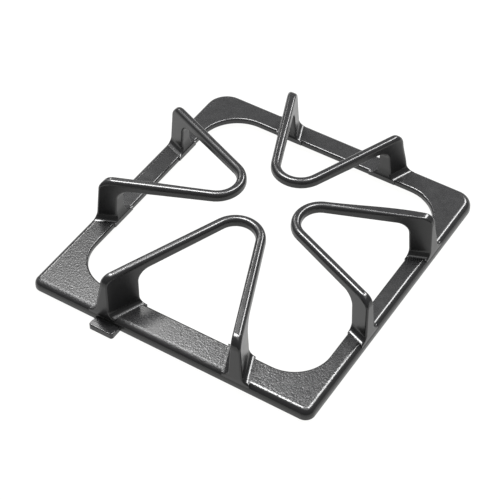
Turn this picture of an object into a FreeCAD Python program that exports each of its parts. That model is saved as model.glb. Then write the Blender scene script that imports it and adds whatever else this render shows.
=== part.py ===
import FreeCAD, Part
import math
import os

# Pan support for a gas hob: one enamelled cast iron piece.
# A flat square ring carries four V-shaped fingers.  Each V springs from two
# upright webs on one side of the ring, and its rounded tip points at the
# burner.  Frame of the part: millimetres, +Z up, origin on the burner axis in
# the plane that the ring rests on.  -Y is the side with the small lug.

V = FreeCAD.Vector

# ---------------------------------------------------------------- dimensions
ring_t = 8.2            # height of the ring's top
under_z = 3.4           # the underside is hollow up to here, inside the rim
rim_w = 6.0             # width of the rim that the ring stands on
x_left = -118.0         # outer walls of the ring
x_right = 113.9         # right wall, where it crosses the X axis
right_taper = -0.0117   # right wall leans in towards the back (dx/dy)
y_front = -132.7
y_back = 116.2
in_left = -100.4        # walls of the opening
in_right = 98.9
in_front = -108.4
in_back = 97.0
r_out = {"fl": 7.0, "fr": 7.5, "br": 14.0, "bl": 18.0}   # outer corner radii
r_in = {"fl": 31.5, "fr": 29.0, "br": 33.0, "bl": 31.0}  # opening corner radii
edge_out = 5.0          # rounding of the ring's outer top edge
edge_in = 1.6           # rounding of the opening's top edge
edge_low = 0.8          # rounding of the lower edges

bar_half = 3.45         # half width of a bar at its top, before rounding
top_z = 43.2            # top of the fingers, where the pan stands
tip_under_z = 36.4      # underside of the bar at the tip
arch_under_z = 35.2     # underside of the bar where it meets the web
apex = -3.0             # the legs of a V would meet this far past the centre
half_angle = 22.5       # each leg leaves its V's axis by this many degrees
tip_r = 18.2            # radius of the tip, on the bar's centre line
corner_r = 8.0          # rounding where the bar turns down at its outer end
arch_r = 9.0            # hollow between the bar's underside and the web
web_inset = {"front": 0.5, "right": 0.5, "left": 1.7, "back": 1.9}
                        # web's outer face, inside the ring's outer wall
web_proud = {"front": 1.7, "right": 0.8, "left": 0.8, "back": 0.8}
                        # web's inner face, past the opening's wall
web_back = {"front": 0.0, "right": 0.0, "left": 2.2, "back": 2.2}
                        # higher up, the inner face stands back by this much
flare_h = 8.0           # and reaches that at this height over the ring
out_lean = 0.055        # the outer face leans in by this much for each mm up
in_lean = {"front": 0.05, "right": 0.09, "left": 0.02, "back": 0.05}
                        # the inner face leans into the opening
draft = 0.06            # taper of the bars' and webs' sides, each side
web_foot = 5.0          # hollow at the web's foot
embed_z = 4.4           # the webs run down to here inside the ring
bar_round = 3.3         # rounding of the bar's top edges
end_round = 1.4         # rounding of the upright edges at the outer end
low_round = 1.3         # rounding of the bar's lower edges and the arch

lug_x0, lug_x1 = -60.5, -40.2   # lug under the front left web
lug_out = 9.5           # how far it stands out
lug_t = 4.5             # its thickness
lug_rib = 5.0           # width of the raised rib along its outer edge
lug_step = 0.9          # height of the rib


def xr(y, base):
    return base + right_taper * y


def rounded_polygon(pts, radii, z):
    """Closed wire through pts with a rounded corner at each."""
    n = len(pts)
    edges, starts, ends, arcs = [], [], [], []
    for i in range(n):
        p, a, b = pts[i], pts[i - 1], pts[(i + 1) % n]
        ua = V(a[0] - p[0], a[1] - p[1], 0).normalize()
        ub = V(b[0] - p[0], b[1] - p[1], 0).normalize()
        half = ua.getAngle(ub) / 2.0
        d = radii[i] / math.tan(half)
        pv = V(p[0], p[1], z)
        mid_dir = (ua + ub).normalize()
        c = pv + mid_dir * (radii[i] / math.sin(half))
        starts.append(pv + ua * d)
        ends.append(pv + ub * d)
        arcs.append(c - mid_dir * radii[i])
    for i in range(n):
        edges.append(Part.Arc(starts[i], arcs[i], ends[i]).toShape())
        edges.append(Part.makeLine(ends[i], starts[(i + 1) % n]))
    return Part.Wire(edges)


outer_pts = [(x_left, y_front), (xr(y_front, x_right), y_front),
             (xr(y_back, x_right), y_back), (x_left, y_back)]
inner_pts = [(in_left, in_front), (xr(in_front, in_right), in_front),
             (xr(in_back, in_right), in_back), (in_left, in_back)]
keys = ["fl", "fr", "br", "bl"]


def ring_blank():
    outer = Part.Face(rounded_polygon(outer_pts, [r_out[k] for k in keys], 0))
    inner = Part.Face(rounded_polygon(inner_pts, [r_in[k] for k in keys], 0))
    blank = outer.cut(inner).extrude(V(0, 0, ring_t)).removeSplitter()
    w = rim_w
    inset = [(outer_pts[0][0] + w, outer_pts[0][1] + w), (outer_pts[1][0] - w, outer_pts[1][1] + w),
             (outer_pts[2][0] - w, outer_pts[2][1] - w), (outer_pts[3][0] + w, outer_pts[3][1] - w)]
    hollow = Part.Face(rounded_polygon(inset, [max(r_out[k] - w, 3.0) for k in keys], -1.0))
    return blank.cut(hollow.extrude(V(0, 0, under_z + 1.0))).removeSplitter()


def edges_at(shape, z, inside, tol=1e-4):
    """Edges that lie in the plane z, on the opening or on the outside."""
    found = []
    for e in shape.Edges:
        bb = e.BoundBox
        if abs(bb.ZMin - z) > tol or abs(bb.ZMax - z) > tol:
            continue
        m = e.valueAt((e.FirstParameter + e.LastParameter) / 2.0)
        is_in = (in_left - 1 < m.x < xr(m.y, in_right) + 1 and
                 in_front - 1 < m.y < in_back + 1)
        if is_in == inside:
            found.append(e)
    return found


def ring():
    s = ring_blank()
    s = s.makeFillet(edge_out, edges_at(s, ring_t, False))
    s = s.makeFillet(edge_in, edges_at(s, ring_t, True))
    s = s.makeFillet(edge_low, edges_at(s, 0.0, False) + edges_at(s, under_z, True))
    return s


# The four sides: outward axis, lateral direction, how far out the webs' outer
# and inner faces stand, and the taper of both along the lateral direction.
sides = {
    "front": (V(0, -1, 0), V(1, 0, 0), -y_front - web_inset["front"],
              -in_front - web_proud["front"], 0.0),
    "back": (V(0, 1, 0), V(-1, 0, 0), y_back - web_inset["back"],
             in_back - web_proud["back"], 0.0),
    "left": (V(-1, 0, 0), V(0, -1, 0), -x_left - web_inset["left"],
             -in_left - web_proud["left"], 0.0),
    "right": (V(1, 0, 0), V(0, 1, 0), x_right - web_inset["right"],
              in_right - web_proud["right"], right_taper),
}


def tangent_arc(p, q, r, corner):
    """Arc of radius r in the corner between the lines corner-p and corner-q,
    as (start, middle, end), each (d, z)."""
    ax, az = p[0] - corner[0], p[1] - corner[1]
    bx, bz = q[0] - corner[0], q[1] - corner[1]
    la, lb = math.hypot(ax, az), math.hypot(bx, bz)
    ax, az, bx, bz = ax / la, az / la, bx / lb, bz / lb
    half = math.acos(ax * bx + az * bz) / 2.0
    d = r / math.tan(half)
    mx, mz = ax + bx, az + bz
    lm = math.hypot(mx, mz)
    c = (corner[0] + mx / lm * r / math.sin(half), corner[1] + mz / lm * r / math.sin(half))
    return ((corner[0] + ax * d, corner[1] + az * d),
            (c[0] - mx / lm * r, c[1] - mz / lm * r),
            (corner[0] + bx * d, corner[1] + bz * d))


def inner_face(name, d_in):
    """Inner face of a side's webs: (foot of the upright part, its lean)."""
    return d_in + web_back[name], in_lean[name]


def side_profile(name, a, l, d_out, d_in, taper):
    """Slab that bounds a V seen along its ring side: flat top, outer end
    turned down, underside rising to the tip, arch down to the web."""
    slope = (tip_under_z - arch_under_z) / (d_in - 25.0)

    def under(d):
        return arch_under_z + slope * (d_in - d)

    def outer(z):
        return d_out - out_lean * (z - ring_t)

    d_web, lean = inner_face(name, d_in)

    def inner(z):
        return d_web - lean * (z - ring_t)

    top_a = (outer(top_z), top_z)
    c0, c1, c2 = tangent_arc((0.0, top_z), (outer(0.0), 0.0), corner_r, top_a)
    # where the inner face would meet the underside line
    z = arch_under_z
    for _ in range(20):
        z = under(inner(z))
    g0, g1, g2 = tangent_arc((inner(0.0), 0.0), (0.0, under(0.0)), arch_r, (inner(z), z))
    pts = [(0.0, top_z), c0, c2, (outer(ring_t), ring_t), (outer(ring_t), embed_z),
           (d_in, embed_z), (d_in, ring_t), g0, g2, (0.0, under(0.0))]
    # hollow flare from the opening's wall up to the upright part
    flare = None
    if web_back[name]:
        z1 = ring_t + flare_h
        k = math.hypot(1.0, lean)
        tx, tz = lean / k, -1.0 / k              # down the upright part
        nx, nz = 1.0 / k, lean / k               # out of it, away from the opening
        px, pz = d_in - inner(z1), ring_t - z1   # from the top of the flare to its foot
        r = -(px * px + pz * pz) / (2.0 * (px * nx + pz * nz))
        cx, cz = inner(z1) - nx * r, z1 - nz * r
        a0 = math.atan2(z1 - cz, inner(z1) - cx)
        a1 = math.atan2(ring_t - cz, d_in - cx)
        am = (a0 + a1) / 2.0
        flare = ((d_in, ring_t), (cx + r * math.cos(am), cz + r * math.sin(am)), (inner(z1), z1))
        pts.insert(pts.index(g0), flare[2])

    def P(q):
        return a * q[0] + V(0, 0, q[1])
    e = []
    n = len(pts)
    for i in range(n):
        p, q = pts[i], pts[(i + 1) % n]
        if p is c0:
            e.append(Part.Arc(P(c0), P(c1), P(c2)).toShape())
        elif flare and q is flare[2]:
            e.append(Part.Arc(P(flare[0]), P(flare[1]), P(flare[2])).toShape())
        elif p is g0:
            e.append(Part.Arc(P(g0), P(g1), P(g2)).toShape())
        else:
            e.append(Part.makeLine(P(p), P(q)))
    # the walls run along l, turned by the taper
    run = (l + a * taper)
    f = Part.Face(Part.Wire(e))
    f.translate(run * -150.0)
    return f.extrude(run * 300.0)


def section(org, n, z_low, foot):
    """Upright section of a leg at org: drafted sides, and the hollow foot
    where foot is true.  n is the horizontal direction across the bar."""
    def P(x, z):
        return org + n * x + V(0, 0, z)

    def w(z):
        return bar_half + (top_z - z) * draft
    zt = top_z + 1.0
    if not foot:
        pts = [P(-w(z_low), z_low), P(-w(zt), zt), P(w(zt), zt), P(w(z_low), z_low)]
        return Part.Face(Part.makePolygon(pts + [pts[0]]))
    r = web_foot
    h = math.hypot(1.0, draft)
    wc = w(ring_t + r) + r * h
    zc = ring_t + r
    tan = (wc - r / h, zc - r * draft / h)
    k = V(-1.0 / h, -draft / h - 1.0, 0).normalize()
    mid = (wc + r * k.x, zc + r * k.y)
    e = []
    for sg in (-1, 1):
        e += [Part.makeLine(P(sg * wc, z_low), P(sg * wc, ring_t)),
              Part.Arc(P(sg * wc, ring_t), P(sg * mid[0], mid[1]),
                       P(sg * tan[0], tan[1])).toShape(),
              Part.makeLine(P(sg * tan[0], tan[1]), P(sg * w(zt), zt))]
    e += [Part.makeLine(P(-w(zt), zt), P(w(zt), zt)),
          Part.makeLine(P(-wc, z_low), P(wc, z_low))]
    return Part.Face(Part.Wire(Part.__sortEdges__(e)))


def arms(a, l):
    """Both legs of a V, as long as they need be, and its rounded tip."""
    t = math.radians(half_angle)
    c = a * (apex + tip_r / math.sin(t))
    body = None
    for s in (-1, 1):
        n = a * -math.sin(t) + l * (s * math.cos(t))
        u = a * math.cos(t) + l * (s * math.sin(t))
        leg = section(c + n * tip_r, n, embed_z, True).extrude(u * 175.0)
        body = leg if body is None else body.fuse(leg)
        if s == 1:
            tip = section(c + n * tip_r, n, 28.0, False)
            turn = n.cross(a * -1.0).z
            tip = tip.revolve(c, V(0, 0, 1), math.copysign(180.0 - 2 * half_angle, turn))
    return body.fuse(tip)


def fillet(shape, table):
    """Round edges of one shape, each with its own start and end radius."""
    doc = FreeCAD.newDocument("round")
    base = doc.addObject("Part::Feature", "base")
    base.Shape = shape
    f = doc.addObject("Part::Fillet", "f")
    f.Base = base
    f.Edges = table
    doc.recompute()
    out = f.Shape.copy()
    ok = (not f.Shape.isNull()) and f.Shape.isValid() and "Invalid" not in f.State
    FreeCAD.closeDocument(doc.Name)
    return out if ok else None


def finger(name):
    """One V with its two webs, every edge rounded that shows."""
    a, l, d_out, d_in, taper = sides[name]
    v = arms(a, l).common(side_profile(name, a, l, d_out, d_in, taper)).removeSplitter()
    d_web, lean = inner_face(name, d_in)
    table = []
    for i, e in enumerate(v.Edges, 1):
        p, q = e.valueAt(e.FirstParameter), e.valueAt(e.LastParameter)
        m = e.valueAt((e.FirstParameter + e.LastParameter) / 2.0)

        def depth(x):
            # distance out from the axis, measured square to the wall
            return x.dot(a) - taper * x.dot(l)
        dm, dp, dq = depth(m), depth(p), depth(q)
        straight = e.Curve.TypeId.endswith("Line")
        if straight and abs(dp - dq) < 1e-3 and abs(p.z - q.z) < 1e-3:
            continue                                   # runs across a bar
        if max(p.z, q.z) < ring_t + 1e-3:
            continue                                   # inside the ring
        on_out = max(abs(d_out - out_lean * (x.z - ring_t) - y)
                     for x, y in ((p, dp), (q, dq), (m, dm))) < 1e-3
        on_in = max(abs(d_web - lean * (x.z - ring_t) - y)
                    for x, y in ((p, dp), (q, dq), (m, dm))) < 1e-3
        on_flare = (web_back[name] and min(p.z, q.z) > ring_t - 1e-3 and
                    max(p.z, q.z) < ring_t + flare_h + 1e-3 and
                    d_in - 1e-3 < dm < d_web + 0.5)
        if abs(m.z - top_z) < 1e-3:
            table.append((i, bar_round, bar_round))
        elif on_out:
            table.append((i, end_round, end_round))
        elif on_in or on_flare:
            table.append((i, low_round, low_round))
        elif dm > d_in + 1.0 and min(p.z, q.z) > top_z - corner_r - 2.0 and max(p.z, q.z) > top_z - 1e-3:
            if p.z > q.z:
                table.append((i, bar_round, end_round))
            else:
                table.append((i, end_round, bar_round))
        elif dm < d_in - 1e-3 and not (straight and abs(p.z - q.z) > 4.0):
            table.append((i, low_round, low_round))
    return fillet(v, table)


def lug():
    """Flat lug standing out from the front wall, with a raised rib along
    its outer edge."""
    y0 = y_front - lug_out
    base = Part.makeBox(lug_x1 - lug_x0, lug_out + 4.0, lug_t - lug_step,
                        V(lug_x0, y0, 0.0))
    rib = Part.makeBox(lug_x1 - lug_x0, lug_rib, lug_t, V(lug_x0, y0, 0.0))
    s = base.fuse(rib).removeSplitter()
    up = [e for e in s.Edges if abs(e.BoundBox.ZLength - lug_t) < 1e-3 and
          abs(e.BoundBox.YMin - y0) < 1e-3]
    s = s.makeFillet(2.0, up)
    top = [e for e in s.Edges if e.BoundBox.ZMin > lug_t - 1e-3]
    s = s.makeFillet(0.7, top)
    return s


def main():
    os.makedirs("parts", exist_ok=True)
    body = ring()
    print("ring", body.isValid(), round(body.Volume), body.BoundBox)
    for name in sides:
        v = finger(name)
        print(name, v.isValid(), len(v.Solids), round(v.Volume), len(v.Faces), len(v.Edges))
        body = body.fuse(v)
    body = body.fuse(lug()).removeSplitter()
    print("all", body.isValid(), len(body.Solids), round(body.Volume), body.BoundBox)
    body.Solids[0].exportStep("parts/pan_support.step")


main()
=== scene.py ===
import math

import bpy
from mathutils import Matrix, Vector

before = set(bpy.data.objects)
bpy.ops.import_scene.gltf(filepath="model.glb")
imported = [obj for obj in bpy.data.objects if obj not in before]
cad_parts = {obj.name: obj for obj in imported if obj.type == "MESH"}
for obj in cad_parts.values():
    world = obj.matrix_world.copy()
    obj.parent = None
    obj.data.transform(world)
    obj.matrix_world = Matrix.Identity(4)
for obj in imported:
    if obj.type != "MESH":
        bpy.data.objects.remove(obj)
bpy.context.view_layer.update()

# ------------------------------------------------------------------ camera
# Looks down at the support from its front right, 46 degrees above the hob.
cam_data = bpy.data.cameras.new("camera")
cam_data.sensor_width = 36.0
cam_data.lens = 128.41
cam_data.clip_start = 0.05
cam_data.clip_end = 60.0
cam = bpy.data.objects.new("camera", cam_data)
bpy.context.scene.collection.objects.link(cam)
right = Vector((0.84424, 0.53597, 0.0))
up = Vector((-0.38522, 0.60678, 0.69530))
back = Vector((0.37266, -0.58699, 0.71873))
m = Matrix((right, up, back)).transposed().to_4x4()
m.translation = Vector((0.48336, -0.78635, 0.94266))
cam.matrix_world = m
bpy.context.scene.camera = cam


# --------------------------------------------------------------- materials
class Nodes:
    """Small helper for building one material's node tree."""

    def __init__(self, name):
        self.mat = bpy.data.materials.new(name)
        self.mat.use_nodes = True
        self.tree = self.mat.node_tree
        self.tree.nodes.clear()
        self.out = self.add("ShaderNodeOutputMaterial")

    def add(self, kind, **values):
        n = self.tree.nodes.new(kind)
        for k, v in values.items():
            setattr(n, k, v)
        return n

    def link(self, a, b):
        self.tree.links.new(a, b)

    def math(self, op, a, b=None, clamp=False):
        n = self.add("ShaderNodeMath", operation=op, use_clamp=clamp)
        for i, v in enumerate((a, b)):
            if v is None:
                continue
            if isinstance(v, (int, float)):
                n.inputs[i].default_value = v
            else:
                self.link(v, n.inputs[i])
        return n.outputs[0]

    def step(self, value, lo, hi, out_lo=0.0, out_hi=1.0):
        n = self.add("ShaderNodeMapRange", interpolation_type="SMOOTHSTEP")
        self.link(value, n.inputs["Value"])
        n.inputs["From Min"].default_value = lo
        n.inputs["From Max"].default_value = hi
        n.inputs["To Min"].default_value = out_lo
        n.inputs["To Max"].default_value = out_hi
        return n.outputs["Result"]

    def noise(self, where, scale, detail=2.0, rough=0.5):
        n = self.add("ShaderNodeTexNoise")
        n.inputs["Scale"].default_value = scale
        n.inputs["Detail"].default_value = detail
        n.inputs["Roughness"].default_value = rough
        self.link(where, n.inputs["Vector"])
        return n.outputs["Fac"]


def enamel():
    """Black vitreous enamel over cast iron.  The ring's flat top keeps the
    casting's pebbled skin, coarse towards the front and fine elsewhere; the
    fingers, webs and rounded edges are smooth and glossy."""
    k = Nodes("black_enamel")
    shader = k.add("ShaderNodeBsdfPrincipled")
    k.link(shader.outputs[0], k.out.inputs["Surface"])
    shader.inputs["IOR"].default_value = 1.5
    shader.inputs["Metallic"].default_value = 0.0

    place = k.add("ShaderNodeTexCoord").outputs["Object"]
    xyz = k.add("ShaderNodeSeparateXYZ")
    k.link(place, xyz.inputs[0])
    nrm = k.add("ShaderNodeSeparateXYZ")
    k.link(k.add("ShaderNodeNewGeometry").outputs["Normal"], nrm.inputs[0])

    # 1 on the ring's flat top, 0 on the lug, fingers, webs and rounded edges
    low = k.math("MULTIPLY", k.step(xyz.outputs["Z"], 0.0083, 0.0095, 1.0, 0.0),
                 k.step(xyz.outputs["Z"], 0.0058, 0.0072))
    flat = k.step(nrm.outputs["Z"], 0.955, 0.998)
    top = k.math("MULTIPLY", low, flat)

    # coarse skin on the front part of the ring, fading out towards the back,
    # its edge broken up by a slow noise
    blotch = k.noise(place, 22.0, 2.0)
    y = k.math("ADD", xyz.outputs["Y"], k.math("MULTIPLY", k.math("SUBTRACT", blotch, 0.5), 0.06))
    front = k.step(y, -0.085, -0.035, 1.0, 0.0)
    # along the front edge, left of the right corner, it runs over the rounding
    edge = k.math("MULTIPLY", k.step(xyz.outputs["Y"], -0.1288, -0.1262, 1.0, 0.0),
                  k.step(xyz.outputs["X"], 0.035, 0.065, 1.0, 0.0))
    edge = k.math("MULTIPLY", edge, k.step(nrm.outputs["Z"], 0.55, 0.75))
    edge = k.math("MULTIPLY", edge, low)
    skin_on = k.math("MULTIPLY", low, k.step(nrm.outputs["Z"], 0.93, 0.99))
    skin_on = k.math("MAXIMUM", skin_on, edge)
    coarse = k.math("MULTIPLY", skin_on, front)

    # the enamel pooled smoother at the right foot side of the front left web
    pool = k.math("MULTIPLY", k.step(xyz.outputs["X"], -0.052, -0.046), k.step(xyz.outputs["X"], -0.024, 0.006, 1.0, 0.0))
    coarse = k.math("MULTIPLY", coarse, k.math("SUBTRACT", 1.0, k.math("MULTIPLY", pool, 0.75)))

    # the pebbled skin: rounded bumps a little over 1 mm across
    warp = k.noise(place, 700.0, 1.0)
    off = k.add("ShaderNodeCombineXYZ")
    k.link(k.math("MULTIPLY", warp, 0.0016), off.inputs[0])
    k.link(k.math("MULTIPLY", warp, -0.0016), off.inputs[1])
    add = k.add("ShaderNodeVectorMath", operation="ADD")
    k.link(place, add.inputs[0])
    k.link(off.outputs[0], add.inputs[1])
    cell = k.add("ShaderNodeTexVoronoi", feature="SMOOTH_F1")
    cell.inputs["Scale"].default_value = 860.0
    cell.inputs["Smoothness"].default_value = 0.5
    cell.inputs["Randomness"].default_value = 1.0
    k.link(add.outputs[0], cell.inputs["Vector"])
    bumps = k.math("SUBTRACT", 1.0, cell.outputs["Distance"])
    fine = k.noise(place, 640.0, 1.0)
    skin = k.math("ADD", k.math("MULTIPLY", bumps, 0.7), k.math("MULTIPLY", fine, 0.6))

    # long, shallow flow of the enamel everywhere
    flow = k.noise(place, 130.0, 2.0, 0.55)

    amount = k.math("ADD", k.math("MULTIPLY", coarse, 0.145), k.math("MULTIPLY", top, 0.016))
    wall = k.step(xyz.outputs["Z"], 0.0060, 0.0080, 1.0, 0.0)
    amount = k.math("ADD", amount, k.math("MULTIPLY", wall, 0.05))
    amount = k.math("ADD", amount, k.math("MULTIPLY", edge, 0.18))
    amount = k.math("ADD", amount, 0.003)
    b1 = k.add("ShaderNodeBump")
    b1.inputs["Distance"].default_value = 0.0006
    k.link(amount, b1.inputs["Strength"])
    k.link(skin, b1.inputs["Height"])
    b2 = k.add("ShaderNodeBump")
    b2.inputs["Distance"].default_value = 0.0004
    b2.inputs["Strength"].default_value = 0.03
    k.link(flow, b2.inputs["Height"])
    k.link(b1.outputs[0], b2.inputs["Normal"])
    k.link(b2.outputs[0], shader.inputs["Normal"])

    # roughness: duller on the ring's top and on upright faces, and a little
    # uneven everywhere
    upright = k.step(nrm.outputs["Z"], 0.15, 0.45, 1.0, 0.0)
    r = k.math("ADD", k.math("MULTIPLY", top, 0.005), k.math("MULTIPLY", upright, 0.11))
    r = k.math("ADD", r, k.math("MULTIPLY", edge, 0.28))
    r = k.math("ADD", r, 0.185)
    r = k.math("ADD", r, k.math("MULTIPLY", k.math("SUBTRACT", flow, 0.5), 0.08))
    k.link(r, shader.inputs["Roughness"])

    # colour: near black, a little greyer on the tops of the bumps
    ramp = k.add("ShaderNodeValToRGB")
    ramp.color_ramp.elements[0].position = 0.25
    ramp.color_ramp.elements[0].color = (0.014, 0.014, 0.0145, 1)
    ramp.color_ramp.elements[1].position = 0.85
    ramp.color_ramp.elements[1].color = (0.022, 0.022, 0.0225, 1)
    k.link(k.math("ADD", k.math("MULTIPLY", k.math("MULTIPLY", bumps, top), 0.6), k.math("MULTIPLY", flow, 0.5)), ramp.inputs["Fac"])
    k.link(ramp.outputs["Color"], shader.inputs["Base Color"])
    return k.mat


mat = enamel()
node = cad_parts["pan_support"]
for s in node.material_slots:
    s.material = mat
if not node.material_slots:
    node.data.materials.append(mat)
print("mesh", len(node.data.vertices), len(node.data.polygons),
      "smooth", sum(p.use_smooth for p in node.data.polygons),
      "custom normals", node.data.has_custom_normals)


# ------------------------------------------------------------------- stage
def plain(name, colour, rough, glow=0.0):
    k = Nodes(name)
    shader = k.add("ShaderNodeBsdfPrincipled")
    shader.inputs["Emission Color"].default_value = (1.0, 1.0, 0.99, 1)
    shader.inputs["Emission Strength"].default_value = glow
    shader.inputs["Base Color"].default_value = colour
    shader.inputs["Roughness"].default_value = rough
    shader.inputs["Specular IOR Level"].default_value = 0.0
    k.link(shader.outputs[0], k.out.inputs["Surface"])
    return k.mat


floor_mesh = bpy.data.meshes.new("floor")
floor_mesh.from_pydata([(-6, -6, 0), (6, -6, 0), (6, 6, 0), (-6, 6, 0)], [], [(0, 1, 2, 3)])
floor = bpy.data.objects.new("floor", floor_mesh)
floor.location = (0, 0, -0.0002)
floor_mesh.materials.append(plain("floor_white", (0.04, 0.04, 0.04, 1), 0.9, 0.98))
bpy.context.scene.collection.objects.link(floor)


# ------------------------------------------------------------------ lights
def panel(name, x0, x1, y0, y1, z, radiance, colour=(1, 1, 1)):
    """Flat softbox that faces straight down, given by its edges."""
    d = bpy.data.lights.new(name, "AREA")
    d.shape = "RECTANGLE"
    d.size = x1 - x0
    d.size_y = y1 - y0
    d.energy = math.pi * d.size * d.size_y * radiance
    d.color = colour
    o = bpy.data.objects.new(name, d)
    bpy.context.scene.collection.objects.link(o)
    o.location = ((x0 + x1) / 2, (y0 + y1) / 2, z)
    return o


def above(name, height, x0, x1, y0, y1, radiance, colour=(1, 1, 1)):
    """Panel at a height, its edges given as slopes seen from the burner."""
    return panel(name, x0 * height, x1 * height, y0 * height, y1 * height, height, radiance, colour)


above("overhead", 1.00, -1.25, 0.45, -0.20, 0.58, 1.8, (0.99, 0.995, 1.0))
above("key", 0.90, -0.62, -0.18, 0.05, 0.37, 36.0, (1.0, 1.0, 1.0))
above("key_side", 0.90, -0.04, 0.20, 0.26, 0.55, 34.0, (1.0, 1.0, 1.0))
above("glow", 0.85, -0.76, -0.43, 0.42, 0.66, 4.8, (1.0, 0.995, 0.98))
above("behind", 0.90, 0.08, 0.36, 0.58, 1.15, 25.0, (1.0, 1.0, 1.0))
above("behind_far", 0.90, -0.10, 0.32, 1.20, 1.58, 24.0, (1.0, 1.0, 1.0))
above("left", 0.90, -1.45, -1.12, 0.62, 1.00, 17.0, (1.0, 0.99, 0.97))

world = bpy.data.worlds.new("world")
bpy.context.scene.world = world
world.use_nodes = True
bg = world.node_tree.nodes["Background"]
bg.inputs["Color"].default_value = (1.0, 1.0, 1.0, 1)
bg.inputs["Strength"].default_value = 0.24

bpy.context.scene.view_settings.view_transform = "Standard"
bpy.context.scene.view_settings.look = "None"
bpy.context.scene.view_settings.exposure = 0.0
bpy.context.scene.view_settings.gamma = 1.0
